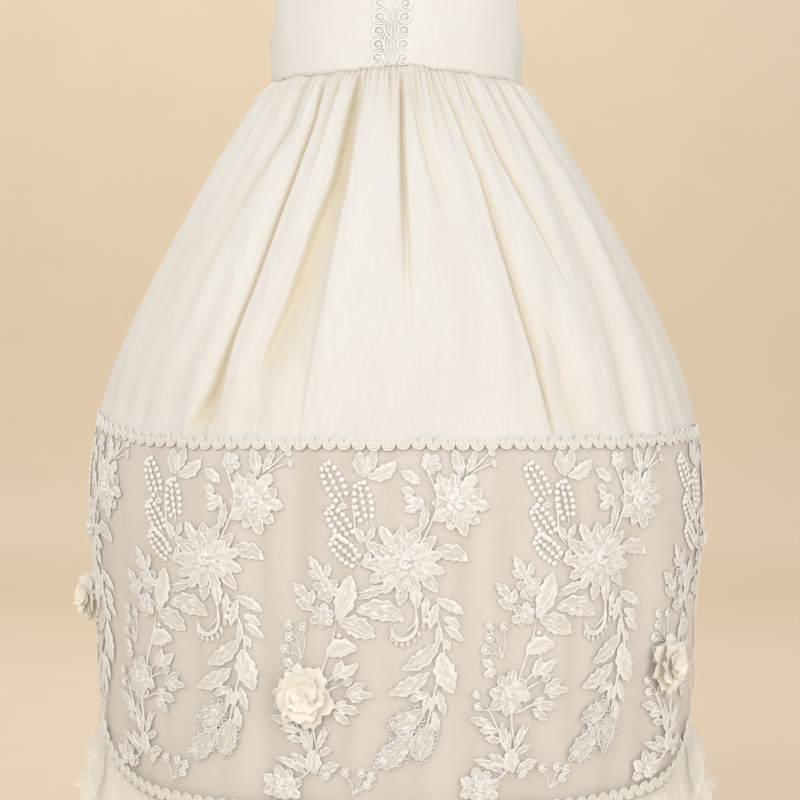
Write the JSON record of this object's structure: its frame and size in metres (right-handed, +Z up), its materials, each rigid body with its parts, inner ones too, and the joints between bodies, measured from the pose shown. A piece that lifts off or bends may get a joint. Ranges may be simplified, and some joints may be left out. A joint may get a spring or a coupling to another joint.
{
  "type": "christening gown",
  "caption": "Sleeveless ivory silk christening gown with a gathered skirt, an embroidered net panel, scroll braid and tulle ruffles, filled out as if worn.",
  "frame": {"origin": "midway between the two shoulder straps, at the inner face of the shoulder seams", "axes": "+Z up along the wearer's height, -Y towards the front of the gown, +X towards the viewer's right"},
  "size_m": [0.4834, 0.3608, 0.7573],
  "materials": {
    "silk": "slubbed silk, soft sheen",
    "button_silk": "silk covered",
    "net": "fine net, matte",
    "lining": "plain lining, soft sheen",
    "embroidery": "satin thread",
    "braid": "corded braid",
    "chiffon": "crumpled chiffon",
    "tulle": "sheer tulle"
  },
  "bodies": {
    "root": {"bodice_front": "silk", "bodice_back_right": "silk", "bodice_back_left": "silk", "button_1": "button_silk", "button_2": "button_silk", "button_3": "button_silk", "button_4": "button_silk", "rosette_braid_left": "braid", "rosette_braid_right": "braid", "ladder_lace": "net", "skirt_front": "silk", "skirt_back": "silk", "underskirt_front": "lining", "lace_front": "net", "underskirt_back": "lining", "lace_back": "net", "braid_upper": "braid", "braid_hem_front": "braid", "braid_hem_back": "braid", "ruffle_lower": "chiffon", "ruffle_upper": "tulle", "ruffle_side_left": "tulle", "ruffle_side_right": "tulle", "spray_1": "embroidery", "spray_2": "embroidery", "spray_3": "embroidery", "spray_4": "embroidery", "spray_5": "embroidery", "spray_6": "embroidery", "spray_7": "embroidery", "spray_8": "embroidery", "spray_9": "embroidery", "rose_1": "chiffon", "rose_2": "chiffon", "rose_3": "chiffon"}
  },
  "joints": []
}
